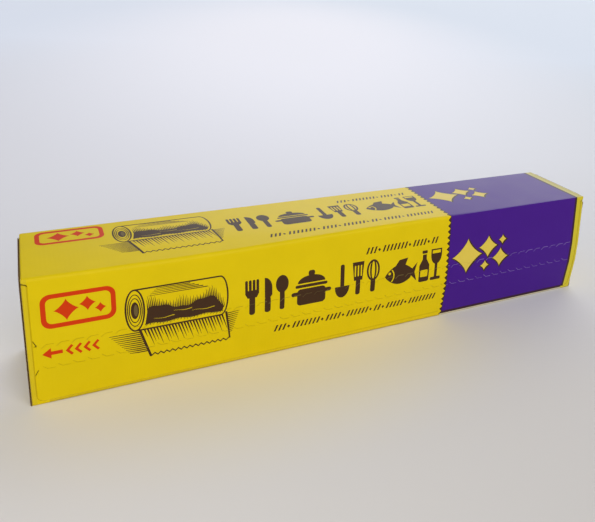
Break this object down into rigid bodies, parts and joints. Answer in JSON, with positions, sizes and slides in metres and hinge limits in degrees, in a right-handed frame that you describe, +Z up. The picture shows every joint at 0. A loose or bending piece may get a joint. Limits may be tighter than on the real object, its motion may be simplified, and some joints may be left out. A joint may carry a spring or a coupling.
{
  "type": "catering foil carton",
  "caption": "Long sealed corrugated carton that holds a roll of catering foil, with a perforated zip strip along its front, creased end margins and glued end flaps.",
  "frame": {"origin": "middle of the carton's base, on the surface that it stands on", "axes": "+X along the carton's length, away from the pull tab; the front panel with the zip strip faces -Y; +Z up"},
  "size_m": [0.465, 0.075, 0.092],
  "materials": {
    "printed_board": "semi-gloss print on fine-fluted corrugated board"
  },
  "bodies": {
    "root": {"foil_carton": "printed_board"}
  },
  "joints": []
}
